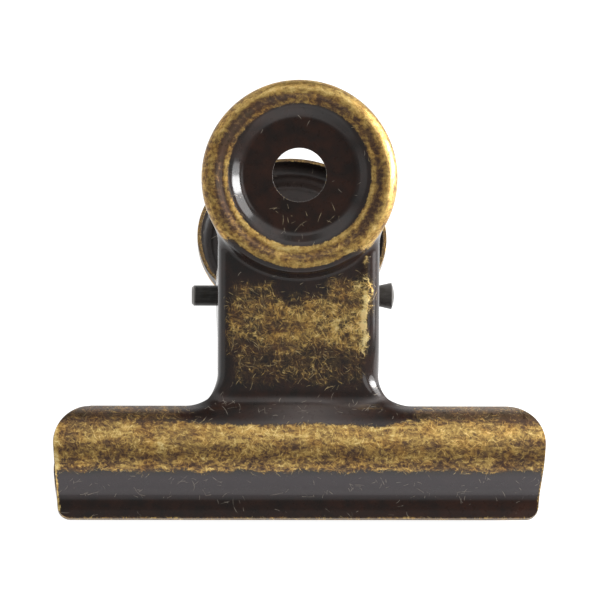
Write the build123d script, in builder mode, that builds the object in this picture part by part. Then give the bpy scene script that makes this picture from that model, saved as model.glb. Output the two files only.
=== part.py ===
from build123d import *
import os
from math import sin, cos, tan, atan2, acos, radians, degrees, hypot, sqrt

os.makedirs("parts", exist_ok=True)

# Spring paper clip of the bulldog kind, lying on its back on a table.
# Two pressed sheet plates, a hinge pin through their ears, and a coiled
# torsion spring on the pin between them.
#
# The plates are drawn in the clip's own frame (X along the jaws, Y to the
# back, Z from the lips to the thumb discs, lips meeting on Y = 0), then laid
# down by the tangent plane of the rear plate.  All lengths in millimetres.

# ---- sheet and jaw section (q = distance in front of the mid plane) --------
sheet = 0.40              # sheet thickness
lip_gap = 0.02            # half the gap between the closed lips
crease_z = 2.00           # height of the crease over the lip
crease_r = 2.00           # outer radius of that crease
belly_q = 5.60            # outermost reach of the jaw
belly_z = 6.55            # its height
belly_low_r = 3.00        # radius below the crest
belly_top_r = 8.00        # radius above the crest
valley_r = 1.80           # hollow radius between jaw and stem
lean = 16.5               # lean of the stem away from the mid plane, degrees

# ---- jaw outline -----------------------------------------------------------
jaw_half = 25.0           # half length of the jaw at its crest
jaw_taper = 0.55          # how much each end draws in at the lip
jaw_top_r = 3.70          # upper corner radius
jaw_low_r = 1.20          # lower corner radius

# ---- stem and ears ---------------------------------------------------------
stem_half = 8.25          # half width over the outer ears
ear_side_gap = 0.05       # running gap between outer and inner ears
bend_r = 1.20             # outer bend radius of the turned back edge
root_r = 3.30             # hollow corner between stem and jaw, seen from front
flange = 2.20             # depth of the turned back edge
pivot_z = 23.77           # height of the pin
ear_tip_r = 2.50          # ear radius around the pin
ear_up = 2.90             # ear foot above the pin
ear_down = 4.40           # ear foot below the pin

# ---- thumb disc (heights over the outer face of the stem) ------------------
disc_q = 10.35            # disc centre, in front of the mid plane
disc_z = 33.22            # disc centre height
disc_r = 10.0             # outer radius
hole_r = 2.75             # hang hole
floor_h = 0.28            # dished floor
floor_edge_r = 5.95       # where floor and wall would meet
dish_up = 0.30            # dish and hole sit this far above the bead's centre
bead_mid_r = 8.10         # flat top of the bead, between dish and rim
ridge_r = 7.20            # inner edge of the bead
bead_h = 1.50             # top of the bead
rim_h = -0.30             # edge of the rolled rim
dish_r = 0.40             # radius at the foot of the wall
ridge_round = 0.50        # radius on the inner edge
bead_round = 1.15         # radius over the outer edge

# ---- hinge pin -------------------------------------------------------------
pin_r = 1.05
pin_left = -10.80         # plain end
pin_right = 9.80          # start of the domed end
pin_head_r = 1.38         # spread end
pin_head_from = 8.35      # where the spread begins
pin_dome = 0.30
pin_chamfer = 0.22
pin_running = 0.05        # radial running clearance in the inner ears

# ---- torsion spring --------------------------------------------------------
wire_r = 0.55
coil_r = 2.60             # mean radius
coil_half = 4.20          # half length of the coil, wire centre to wire centre
coil_turns = 6            # whole turns, besides the part turn between the legs
leg_reach = 10.50         # where a leg bears, above the pin along the stem
leg_gap = 0.04            # gap left under the leg

# ---- derived: directions and tangent points --------------------------------
lip_q = lip_gap + sheet
sa, ca = sin(radians(lean)), cos(radians(lean))
c_low = (belly_q - belly_low_r, belly_z)
c_top = (belly_q - belly_top_r, belly_z)

# slope from the crease, tangent to the lower arc
kq, kz = lip_q - c_low[0], crease_z - c_low[1]
slope = acos(belly_low_r / hypot(kq, kz)) - atan2(-kq, -kz)
ss, cs = sin(slope), cos(slope)

# stem line through the disc centre, and the hollow tangent to it
reach = (c_top[0] - disc_q) * ca - (c_top[1] - disc_z) * sa
along = sqrt((belly_top_r + valley_r) ** 2 - (valley_r - reach) ** 2)
foot = (c_top[0] - reach * ca, c_top[1] + reach * sa)
c_valley = (foot[0] + along * sa + valley_r * ca, foot[1] + along * ca - valley_r * sa)
top_angle = atan2(c_valley[1] - c_top[1], c_valley[0] - c_top[0])
jaw_top = (c_top[0] + belly_top_r * cos(top_angle), c_top[1] + belly_top_r * sin(top_angle))

# pin and jaw top seen from the disc centre: (out of the stem, up the stem)
pin_w = -disc_q * ca - (pivot_z - disc_z) * sa
pin_u = -disc_q * sa + (pivot_z - disc_z) * ca
jaw_top_w = (jaw_top[0] - disc_q) * ca - (jaw_top[1] - disc_z) * sa
jaw_top_u = (jaw_top[0] - disc_q) * sa + (jaw_top[1] - disc_z) * ca
lip_u = (lip_gap - disc_q) * sa - disc_z * ca
crest_u = (belly_q - disc_q) * sa + (belly_z - disc_z) * ca
disc_foot_u = -sqrt(disc_r ** 2 - stem_half ** 2)

# ---- working planes in the clip's frame ------------------------------------
section = Plane(origin=(0, 0, 0), x_dir=(0, -1, 0), z_dir=(-1, 0, 0))      # q, z
web = Plane(origin=(0, -disc_q, disc_z), x_dir=(1, 0, 0), z_dir=(0, -ca, -sa))   # x, u
side = Plane(origin=(0, -disc_q, disc_z), x_dir=(0, -ca, -sa), z_dir=(-1, 0, 0))  # w, u

dish_side = Plane(
    origin=(0, -disc_q - dish_up * sa, disc_z + dish_up * ca), x_dir=(0, -ca, -sa), z_dir=(-1, 0, 0)
)

# ---- placing: the table touches the rear jaw and the rear disc's bead ------
bead_c = (
    disc_q + (disc_r - bead_round) * sa + (bead_h - bead_round) * ca,
    disc_z + (disc_r - bead_round) * ca - (bead_h - bead_round) * sa,
)
gq, gz = bead_c[0] - c_low[0], bead_c[1] - c_low[1]
rest = acos((belly_low_r - bead_round) / hypot(gq, gz)) - atan2(gz, gq)
sr, cr = sin(rest), cos(rest)
rest_z = c_low[0] * cr - c_low[1] * sr + belly_low_r
rim_top = (disc_q + disc_r * sa + rim_h * ca, disc_z + disc_r * ca - rim_h * sa)
rest_y = -0.5 * (rim_top[0] * sr + rim_top[1] * cr - lip_q * sr)
lying = Plane(origin=(0, rest_y, rest_z), x_dir=(1, 0, 0), z_dir=(0, cr, sr))


def shift(p, d, a):
    return (p[0] + d * cos(a), p[1] + d * sin(a))


def jaw_and_stem(depth, low, back, top):
    """Region behind the plate's outer face, the face moved in by depth."""
    lq = lip_q - depth
    # crease point of the moved lip line and the moved slope line
    pq, pz = lip_q - depth * ss, crease_z + depth * cs
    kz_d = pz + (lq - pq) * tan(slope)
    run = (crease_r + depth) * tan((radians(90) - slope) / 2)
    lip_end = (lq, kz_d - run)
    slope_start = (lq + run * cs, kz_d + run * ss)
    crease_c = (lq + crease_r + depth, kz_d - run)
    mid_a = atan2(slope_start[1] - crease_c[1], slope_start[0] - crease_c[0])
    crease_mid = shift(crease_c, crease_r + depth, (radians(180) + mid_a) / 2)
    r_low = belly_low_r - depth
    slope_end = (c_low[0] + r_low * ss, c_low[1] - r_low * cs)
    low_mid = shift(c_low, r_low, (slope - radians(90)) / 2)
    crest = (c_low[0] + r_low, c_low[1])
    r_top = belly_top_r - depth
    top_mid = shift(c_top, r_top, top_angle / 2)
    top_end = shift(c_top, r_top, top_angle)
    r_v = valley_r + depth
    v_start = top_angle + radians(180)
    v_end = radians(180 - lean)
    v_mid = shift(c_valley, r_v, (v_start + v_end) / 2)
    stem_foot = shift(c_valley, r_v, v_end)
    stem_top = (disc_q + top * sa - depth * ca, disc_z + top * ca + depth * sa)
    stem_back = (disc_q + top * sa - back * ca, disc_z + top * ca + back * sa)
    with BuildLine() as path:
        Line((lq, low), lip_end)
        ThreePointArc(lip_end, crease_mid, slope_start)
        Line(slope_start, slope_end)
        ThreePointArc(slope_end, low_mid, crest)
        ThreePointArc(crest, top_mid, top_end)
        ThreePointArc(top_end, v_mid, stem_foot)
        Line(stem_foot, stem_top)
        Polyline(stem_top, stem_back, (lq - back, low), (lq, low))
    return path.line


def tee(depth, half, jaw, low, top):
    """Stem over jaw, seen square to the stem, its outline moved in by depth."""
    hx, ju, rr = half - depth, jaw_top_u - depth, root_r + depth
    k = rr * (1 - sqrt(0.5))
    with BuildLine() as path:
        Polyline((jaw, ju), (jaw, low), (-jaw, low), (-jaw, ju), (-hx - rr, ju))
        ThreePointArc((-hx - rr, ju), (-hx - k, ju + k), (-hx, ju + rr))
        Polyline((-hx, ju + rr), (-hx, top), (hx, top), (hx, ju + rr))
        ThreePointArc((hx, ju + rr), (hx + k, ju + k), (hx + rr, ju))
        Line((hx + rr, ju), (jaw, ju))
    return path.line


def turned_edges(part, depth, half, jaw):
    """Front edges along the stem, its hollow corners and the jaw's top."""
    found = []
    for e in part.edges():
        m = e @ 0.5
        loc = web.to_local_coords(m)
        q, z = -m.Y, m.Z
        on_stem = abs(loc.Z + depth) < 0.005 and loc.Y > jaw_top_u
        on_hollow = abs(hypot(q - c_valley[0], z - c_valley[1]) - valley_r - depth) < 0.005
        on_top = abs(hypot(q - c_top[0], z - c_top[1]) - belly_top_r + depth) < 0.005
        outer = half - depth - 0.005 < abs(m.X) < jaw - 0.01
        if outer and (on_stem or on_hollow or (on_top and abs(loc.Y - jaw_top_u + depth) < 0.01)):
            found.append(e)
    return found


def block(depth, half, jaw, low, back, tee_low, top):
    with BuildPart() as solid:
        with BuildSketch(section):
            with BuildLine():
                add(jaw_and_stem(depth, low, back, top))
            make_face()
        extrude(amount=jaw, both=True)
        with BuildSketch(web):
            with BuildLine():
                add(tee(depth, half, jaw + 1, tee_low, top + 2))
            make_face()
        extrude(amount=30, both=True, mode=Mode.INTERSECT)
        fillet(turned_edges(solid, depth, half, jaw), bend_r - depth)
    return solid.part


def dish(depth):
    """Floor, wall and inner edge (radius, height), the face moved in by depth."""
    wall = atan2(bead_h - floor_h, ridge_r - floor_edge_r)
    half_turn = tan(wall / 2)
    fl, bd = floor_h - depth, bead_h - depth
    r1, r2 = dish_r + depth, ridge_round - depth
    c1 = (floor_edge_r + depth * half_turn - r1 * half_turn, fl + r1)
    c2 = (ridge_r + depth * half_turn + r2 * half_turn, bd - r2)
    low, high = radians(-90), radians(90)
    foot = [shift(c1, r1, low), shift(c1, r1, low + wall / 2), shift(c1, r1, low + wall)]
    edge = [shift(c2, r2, high + wall), shift(c2, r2, high + wall / 2), shift(c2, r2, high)]
    return [(hole_r, fl)] + foot + edge + [(bead_mid_r + dish_up, bd)]


def rim(depth):
    """Outer half of the bead down to its edge (radius, height)."""
    bd, out_r, r3 = bead_h - depth, disc_r - depth, bead_round - depth
    c3 = (out_r - r3, bd - r3)
    turn = [shift(c3, r3, radians(90)), shift(c3, r3, radians(45)), shift(c3, r3, 0)]
    return [(bead_mid_r - dish_up, bd)] + turn + [(out_r, rim_h)]


def ring_section(points_of):
    """Closed sheet section from a run of points: lines, with arcs at the turns."""
    ends = []
    for depth in (0, sheet):
        p = [(h, r) for r, h in points_of(depth)]
        i = 0
        while i < len(p) - 1:
            Line(p[i], p[i + 1])
            i += 1
            if i + 2 < len(p):
                ThreePointArc(p[i], p[i + 1], p[i + 2])
                i += 2
        ends.append((p[0], p[-1]))
    Line(ends[0][0], ends[1][0])
    Line(ends[0][1], ends[1][1])


def ear_outline():
    """Side view of what is kept of the turned back walls (w, u)."""
    def touch(foot, turn):
        dw, du = foot[0] - pin_w, foot[1] - pin_u
        a = atan2(du, dw) + turn * acos(ear_tip_r / hypot(dw, du))
        return (pin_w + ear_tip_r * cos(a), pin_u + ear_tip_r * sin(a))
    low_foot, up_foot = (-flange, pin_u - ear_down), (-flange, pin_u + ear_up)
    low_touch, up_touch = touch(low_foot, -1), touch(up_foot, 1)
    with BuildLine() as path:
        Polyline(up_foot, (rim_h - 0.2, disc_foot_u), (rim_h - 0.2, 4), (6, 4), (6, -50), (-5, -50),
                 (-5, jaw_top_u - 2.2), (jaw_top_w - 1.1, jaw_top_u - 1.2), (jaw_top_w - 1.1, jaw_top_u + 0.6),
                 (-flange, jaw_top_u + 4.2), low_foot, low_touch)
        ThreePointArc(low_touch, (pin_w - ear_tip_r, pin_u), up_touch)
        Line(up_touch, up_foot)
    return path.line


def jaw_outline():
    """Jaw seen square to the stem (x, u)."""
    return [(-jaw_half + jaw_taper, lip_u), (-jaw_half, crest_u), (-jaw_half, jaw_top_u),
            (jaw_half, jaw_top_u), (jaw_half, crest_u), (jaw_half - jaw_taper, lip_u)]


def plate(half, pin_hole_r):
    outer = block(0, half, jaw_half + 3, 0, 14, -60, 0)
    inner = block(sheet, half, jaw_half + 6, -3, 17, -60, 1)
    with BuildPart() as body:
        add(outer)
        add(inner, mode=Mode.SUBTRACT)
        # ears and the depth of the turned back edges
        with BuildSketch(side):
            with BuildLine():
                add(ear_outline())
            make_face()
        extrude(amount=40, both=True, mode=Mode.INTERSECT)
        # jaw corners and drawn-in ends
        with BuildSketch(web) as face:
            with BuildLine():
                Polyline(*jaw_outline(), close=True)
            make_face()
            fillet(face.vertices().group_by(Axis.Y)[-1], jaw_top_r)
            fillet(face.vertices().group_by(Axis.Y)[0], jaw_low_r)
            with Locations((0, jaw_top_u + 20)):
                Rectangle(2 * (half + root_r + 2), 50)
        extrude(amount=40, both=True, mode=Mode.INTERSECT)
        # room for the thumb disc
        with BuildSketch(web):
            Circle(disc_r - sheet / 2)
        extrude(amount=8, both=True, mode=Mode.SUBTRACT)
        # thumb disc: rolled rim, then the dish set a little higher
        with BuildSketch(side):
            with BuildLine():
                ring_section(rim)
            make_face()
        revolve(axis=Axis((0, -disc_q, disc_z), (0, -ca, -sa)), revolution_arc=360)
        with BuildSketch(dish_side):
            with BuildLine():
                ring_section(dish)
            make_face()
        revolve(axis=Axis(dish_side.origin, (0, -ca, -sa)), revolution_arc=360)
        # pin holes
        with BuildSketch(section):
            with Locations((0, pivot_z)):
                Circle(pin_hole_r)
        extrude(amount=20, both=True, mode=Mode.SUBTRACT)
    return body.part


outer_plate = plate(stem_half, pin_r)
inner_plate = plate(stem_half - sheet - ear_side_gap, pin_r + pin_running)

with BuildPart() as front_plate:
    add(outer_plate.moved(lying.location))
front_plate.part.label = "front_plate"
export_step(front_plate.part, "parts/front_plate.step")

with BuildPart() as rear_plate:
    add(inner_plate.rotate(Axis.Z, 180).moved(lying.location))
rear_plate.part.label = "rear_plate"
export_step(rear_plate.part, "parts/rear_plate.step")

# ---- hinge pin: plain chamfered left end, spread and domed right end --------
pin_line = Plane(origin=lying.from_local_coords(Vector(0, 0, pivot_z)), x_dir=(1, 0, 0), z_dir=(0, -sr, cr))
dome_r = (pin_dome ** 2 + pin_head_r ** 2) / (2 * pin_dome)
dome_c = pin_right + pin_dome - dome_r
dome_a = atan2(pin_head_r, pin_right - dome_c)
with BuildPart() as hinge_pin:
    with BuildSketch(pin_line):
        with BuildLine():
            Polyline((pin_left, 0), (pin_left, pin_r - pin_chamfer), (pin_left + pin_chamfer, pin_r),
                     (pin_head_from, pin_r), (pin_right, pin_head_r))
            ThreePointArc((pin_right, pin_head_r),
                          (dome_c + dome_r * cos(dome_a / 2), dome_r * sin(dome_a / 2)), (pin_right + pin_dome, 0))
            Line((pin_right + pin_dome, 0), (pin_left, 0))
        make_face()
    revolve(axis=Axis(pin_line.origin, pin_line.x_dir), revolution_arc=360)
hinge_pin.part.label = "hinge_pin"
export_step(hinge_pin.part, "parts/hinge_pin.step")

# ---- torsion spring: coil on the pin, one leg up behind each disc -----------
# each leg leaves the coil along its tangent and ends just off a dished floor
leg_w = -pin_w + floor_h - sheet - leg_gap - wire_r
leg_dist = hypot(leg_reach, leg_w)
leg_dir = atan2(leg_reach * ca - leg_w * sa, leg_reach * sa + leg_w * ca)
leave = leg_dir - acos(coil_r / leg_dist)
leg_len = sqrt(leg_dist ** 2 - coil_r ** 2)
turns = coil_turns + (2 * degrees(leave) + 180) / 360
rise = 2 * coil_half / turns
leg_run = leg_len * hypot(1, rise / (2 * 3.141592653589793 * coil_r))
start = radians(180) - leave
start_dir = lying.from_local_coords(Vector(0, -cos(start), sin(start))) - lying.origin
coil_plane = Plane(
    origin=lying.from_local_coords(Vector(coil_half, 0, pivot_z)), x_dir=start_dir, z_dir=(-1, 0, 0)
)
coil = Edge.make_helix(rise, 2 * coil_half, coil_r).moved(coil_plane.location)
head, tail = coil @ 0, coil @ 1
head_dir, tail_dir = coil % 0, coil % 1
with BuildPart() as torsion_spring:
    with BuildSketch(Plane(origin=head, z_dir=head_dir)):
        Circle(wire_r)
    sweep(path=coil, is_frenet=True)
    with BuildSketch(Plane(origin=head, z_dir=-head_dir)):
        Circle(wire_r)
    extrude(amount=leg_run)
    with BuildSketch(Plane(origin=tail, z_dir=tail_dir)):
        Circle(wire_r)
    extrude(amount=leg_run)
torsion_spring.part.label = "torsion_spring"
export_step(torsion_spring.part, "parts/torsion_spring.step")
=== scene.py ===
from math import acos, atan2, cos, degrees, hypot, pi, radians, sin, sqrt, tan

import bpy
import numpy as np
from mathutils import Matrix, Vector


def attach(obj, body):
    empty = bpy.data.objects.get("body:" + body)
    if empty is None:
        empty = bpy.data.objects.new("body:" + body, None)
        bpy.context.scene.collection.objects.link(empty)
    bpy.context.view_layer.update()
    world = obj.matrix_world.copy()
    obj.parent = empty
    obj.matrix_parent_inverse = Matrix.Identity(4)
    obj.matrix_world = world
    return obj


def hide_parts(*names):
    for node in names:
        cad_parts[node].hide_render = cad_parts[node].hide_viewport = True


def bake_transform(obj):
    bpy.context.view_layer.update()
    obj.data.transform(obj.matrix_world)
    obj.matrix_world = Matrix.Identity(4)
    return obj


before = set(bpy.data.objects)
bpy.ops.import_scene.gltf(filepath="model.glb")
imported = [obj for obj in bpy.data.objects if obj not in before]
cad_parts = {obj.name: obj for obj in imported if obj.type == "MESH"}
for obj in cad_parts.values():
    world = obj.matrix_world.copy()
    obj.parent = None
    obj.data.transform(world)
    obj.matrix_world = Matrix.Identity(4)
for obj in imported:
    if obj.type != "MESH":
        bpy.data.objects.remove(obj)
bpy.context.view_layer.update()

MM = 0.001

# ---------------------------------------------------------------------------
# the clip's dimensions, in millimetres, as in the solid model
# ---------------------------------------------------------------------------
sheet = 0.40
lip_gap, crease_z, crease_r = 0.02, 2.00, 2.00
belly_q, belly_z, belly_low_r, belly_top_r = 5.60, 6.55, 3.00, 8.00
valley_r, lean = 1.80, 16.5
jaw_half, jaw_taper, jaw_top_r, jaw_low_r = 25.0, 0.55, 3.70, 1.20
stem_half, ear_side_gap, bend_r, root_r, flange = 8.25, 0.05, 1.20, 3.30, 2.20
pivot_z, ear_tip_r, ear_up, ear_down = 23.77, 2.50, 2.90, 4.40
disc_q, disc_z, disc_r, hole_r = 10.35, 33.22, 10.0, 2.75
floor_h, floor_edge_r, dish_up = 0.28, 5.95, 0.30
# the pressed face of the disc: dish floor, inner ridge
face_floor, face_ridge_h, face_ridge_r = floor_h, 1.24, 7.25
ridge_r, bead_h, rim_h = 7.20, 1.50, -0.30
dish_r, ridge_round, bead_round = 0.20, 0.34, 1.15
pin_r, pin_running = 1.05, 0.05
wire_r, coil_r, coil_half, coil_turns = 0.55, 2.60, 4.20, 6
leg_reach, leg_gap = 10.50, 0.04

sa, ca = sin(radians(lean)), cos(radians(lean))
lip_q = lip_gap + sheet
c_low = (belly_q - belly_low_r, belly_z)
c_top = (belly_q - belly_top_r, belly_z)
kq, kz = lip_q - c_low[0], crease_z - c_low[1]
slope = acos(belly_low_r / hypot(kq, kz)) - atan2(-kq, -kz)
ss, cs = sin(slope), cos(slope)
reach = (c_top[0] - disc_q) * ca - (c_top[1] - disc_z) * sa
along = sqrt((belly_top_r + valley_r) ** 2 - (valley_r - reach) ** 2)
foot = (c_top[0] - reach * ca, c_top[1] + reach * sa)
c_valley = (foot[0] + along * sa + valley_r * ca, foot[1] + along * ca - valley_r * sa)
top_angle = atan2(c_valley[1] - c_top[1], c_valley[0] - c_top[0])
jaw_top = (c_top[0] + belly_top_r * cos(top_angle), c_top[1] + belly_top_r * sin(top_angle))


def wu(p):
    """(q, z) of the side section as (out of the stem, up the stem), from the disc centre."""
    return np.array([(p[0] - disc_q) * ca - (p[1] - disc_z) * sa, (p[0] - disc_q) * sa + (p[1] - disc_z) * ca])


pin_w, pin_u = wu((0, pivot_z))
jaw_top_w, jaw_top_u = wu(jaw_top)
lip_u = wu((lip_gap, 0))[1]
crest_u = wu((belly_q, belly_z))[1]
disc_foot_u = -sqrt(disc_r ** 2 - stem_half ** 2)

# where the clip lies on the table
bead_c = (
    disc_q + (disc_r - bead_round) * sa + (bead_h - bead_round) * ca,
    disc_z + (disc_r - bead_round) * ca - (bead_h - bead_round) * sa,
)
gq, gz = bead_c[0] - c_low[0], bead_c[1] - c_low[1]
rest = acos((belly_low_r - bead_round) / hypot(gq, gz)) - atan2(gz, gq)
sr, cr = sin(rest), cos(rest)
rest_z = c_low[0] * cr - c_low[1] * sr + belly_low_r
rim_top = (disc_q + disc_r * sa + rim_h * ca, disc_z + disc_r * ca - rim_h * sa)
rest_y = -0.5 * (rim_top[0] * sr + rim_top[1] * cr - lip_q * sr)
CLIP_AXES = np.array([[1, 0, 0], [0, sr, -cr], [0, cr, sr]], float)  # rows: the clip's x, y, z in the row frame


def clip_to_row(p):
    return np.asarray(p, float) @ CLIP_AXES + np.array([0, rest_y, rest_z])


def web_to_clip(p, back):
    """(x, u, w) of a plate to the clip's frame; the back plate is the front one turned half round."""
    x, u, w = p[..., 0], p[..., 1], p[..., 2]
    q = disc_q + w * ca + u * sa
    z = disc_z - w * sa + u * ca
    return np.stack([-x, q, z] if back else [x, -q, z], -1)


# ---------------------------------------------------------------------------
# a plate's outer face as the zero of a distance-like function of (x, u, w)
# ---------------------------------------------------------------------------
def meet(a, b, r):
    """Inside both, the edge rounded."""
    return np.minimum(-r, np.maximum(a, b)) + np.hypot(np.maximum(a + r, 0), np.maximum(b + r, 0))


def join(a, b, r):
    """Inside either, the hollow corner rounded."""
    return np.maximum(r, np.minimum(a, b)) - np.hypot(np.maximum(r - a, 0), np.maximum(r - b, 0))


def profile_pieces():
    run = crease_r * tan((radians(90) - slope) / 2)
    lip_end = (lip_q, crease_z - run)
    slope_start = (lip_q + run * cs, crease_z + run * ss)
    crease_c = (lip_q + crease_r, crease_z - run)
    slope_end = (c_low[0] + belly_low_r * ss, c_low[1] - belly_low_r * cs)
    stem_foot = (c_valley[0] - valley_r * ca, c_valley[1] + valley_r * sa)
    stem_top = (disc_q + 30 * sa, disc_z + 30 * ca)
    turn = radians(lean)
    return [
        ("line", wu((lip_q, -6)), wu(lip_end)),
        ("hollow", wu(crease_c), crease_r, pi + turn, atan2(slope_start[1] - crease_c[1], slope_start[0] - crease_c[0]) % (2 * pi) + turn),
        ("line", wu(slope_start), wu(slope_end)),
        ("round", wu(c_low), belly_low_r, slope - pi / 2 + turn, turn),
        ("round", wu(c_top), belly_top_r, turn, top_angle + turn),
        ("hollow", wu(c_valley), valley_r, top_angle + pi + turn, pi - turn + turn),
        ("line", wu(stem_foot), wu(stem_top)),
    ]


PIECES = profile_pieces()


def profile(w, u):
    """Signed distance from the jaw and stem profile, positive in front."""
    best = np.full(np.broadcast(w, u).shape, 1e9)
    out = np.zeros_like(best)
    for kind, *v in PIECES:
        if kind == "line":
            a, b = v
            d = (b - a) / np.hypot(*(b - a))
            t = np.clip((w - a[0]) * d[0] + (u - a[1]) * d[1], 0, np.hypot(*(b - a)))
            n = (w - a[0]) * d[1] - (u - a[1]) * d[0]
            far = np.hypot(w - a[0] - t * d[0], u - a[1] - t * d[1])
            value = np.where(n < 0, -far, far)
        else:
            c, r, a0, a1 = v
            lo, hi = min(a0, a1), max(a0, a1)
            mid, half = (lo + hi) / 2, (hi - lo) / 2
            ang = (np.arctan2(u - c[1], w - c[0]) - mid + pi) % (2 * pi) - pi
            k = np.clip(ang, -half, half) + mid
            dist = np.hypot(w - c[0], u - c[1])
            side = (dist - r) if kind == "round" else (r - dist)
            far = np.hypot(w - c[0] - r * np.cos(k), u - c[1] - r * np.sin(k))
            value = np.where(side < 0, -far, far)
        near = np.abs(value) < best
        best = np.where(near, np.abs(value), best)
        out = np.where(near, value, out)
    return out


wall_len = hypot(face_ridge_r - floor_edge_r, face_ridge_h - face_floor)
BLEND_R = 0.75      # hollow corner between the bead and the stem


def face_parts(x, u, w, half, a=None, b=None):
    ax = np.abs(x)
    if a is None:
        a = profile(w, u)
    if b is None:
        b = join(ax - half, u - jaw_top_u, root_r)
    # the sheet turns more gently along the stem than over the jaw
    soft = np.clip((u + 23.4) / 5.0, 0, 1)
    foot = np.exp(-((u + 20.3) / 1.9) ** 2) * np.clip((x - 3) / 2, 0, 1)
    stem = np.maximum(meet(a, b, bend_r + 0.30 * soft * soft * (3 - 2 * soft) + 0.75 * foot), u + 1.0)
    rho = np.hypot(x, u)
    rho2 = np.hypot(x, u - dish_up)
    mid = (rho + rho2) / 2
    fall = np.clip((8.45 - mid) / 0.95, 0, 1)
    groove = 0.13 * np.exp(-((mid - 8.08) / 0.36) ** 2) + (bead_h - face_ridge_h) * fall * fall * (3 - 2 * fall)
    disc = meet(w - bead_h + groove, rho - disc_r, bead_round)
    body = join(stem, disc, BLEND_R)
    wall = ((rho2 - floor_edge_r) * (face_ridge_h - face_floor) - (w - face_floor) * (face_ridge_r - floor_edge_r)) / wall_len
    hollow = meet(face_floor - w, wall, dish_r)
    return meet(body, -hollow, ridge_round)


def gradient(f, p, h=2e-3):
    g = np.empty_like(p)
    for k in range(3):
        d = np.zeros(3)
        d[k] = h
        g[:, k] = (f(p + d) - f(p - d)) / (2 * h)
    return g


def polygon_distance(points, w, u):
    """Signed distance to a closed outline, negative inside."""
    far = np.full(w.shape, 1e9)
    inside = np.zeros(w.shape, bool)
    for (aw, au), (bw, bu) in zip(points, points[1:] + points[:1]):
        ew, eu = bw - aw, bu - au
        t = np.clip(((w - aw) * ew + (u - au) * eu) / (ew * ew + eu * eu), 0, 1)
        far = np.minimum(far, np.hypot(w - aw - t * ew, u - au - t * eu))
        cross = (au > u) != (bu > u)
        with np.errstate(divide="ignore", invalid="ignore"):
            at = aw + (u - au) / (eu if eu else 1e-30) * ew
        inside ^= cross & (w < at)
    return np.where(inside, -far, far)


def ear_outline():
    def touch(f, turn):
        dw, du = f[0] - pin_w, f[1] - pin_u
        return atan2(du, dw) + turn * acos(ear_tip_r / hypot(dw, du))
    low_foot, up_foot = (-flange, pin_u - ear_down), (-flange, pin_u + ear_up)
    a0, a1 = touch(low_foot, -1), touch(up_foot, 1)
    a0 %= 2 * pi
    a1 %= 2 * pi
    tip = [(pin_w + ear_tip_r * cos(a), pin_u + ear_tip_r * sin(a)) for a in np.linspace(a0, a1, 28)]
    fade = [(-flange + (flange + rim_h) * (0.5 - 0.5 * cos(pi * t)), up_foot[1] + (disc_foot_u + 1.6 - up_foot[1]) * t) for t in np.linspace(0, 1, 12)]
    return fade + [(rim_h, 14), (8, 14), (8, -50), (-5, -50),
                   (-5, jaw_top_u - 2.2), (jaw_top_w - 1.1, jaw_top_u - 1.2), (jaw_top_w - 1.1, jaw_top_u + 0.6),
                   (-flange, jaw_top_u + 4.2), low_foot] + tip


EAR = [(float(a), float(b)) for a, b in ear_outline()]


def trim(p, half, pin_hole):
    """Negative where the sheet is kept."""
    x, u, w = p[:, 0], p[:, 1], p[:, 2]
    ax = np.abs(x)
    low = w * sa - u * ca - disc_z
    lean_len = hypot(jaw_taper, crest_u - lip_u)
    end = np.maximum(((ax - jaw_half) * (crest_u - lip_u) - (u - crest_u) * jaw_taper) / lean_len, ax - jaw_half)
    top = u - jaw_top_u + 0.03
    near = np.maximum(end + jaw_top_r, 0)
    corner = np.where((near > 0) & (top + jaw_top_r > 0), np.hypot(near, np.maximum(top + jaw_top_r, 0)) - jaw_top_r, np.where(near > 0, end, -1.0))
    jaw = np.maximum(meet(low, end, jaw_low_r), corner)
    jaw = np.minimum(jaw, np.maximum(ax - half - root_r - 2, jaw_top_u - 5 - u))
    ear = np.minimum(polygon_distance(EAR, w, u), np.hypot(x, u) - 9.0)
    pin = np.where(ax > 5, pin_hole - np.hypot(w - pin_w, u - pin_u), -1.0)
    hole = hole_r - np.hypot(x, u - dish_up)
    return np.maximum.reduce([jaw, ear, pin, hole])


EDGE = 0.06         # rounding of the cut edges


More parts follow.
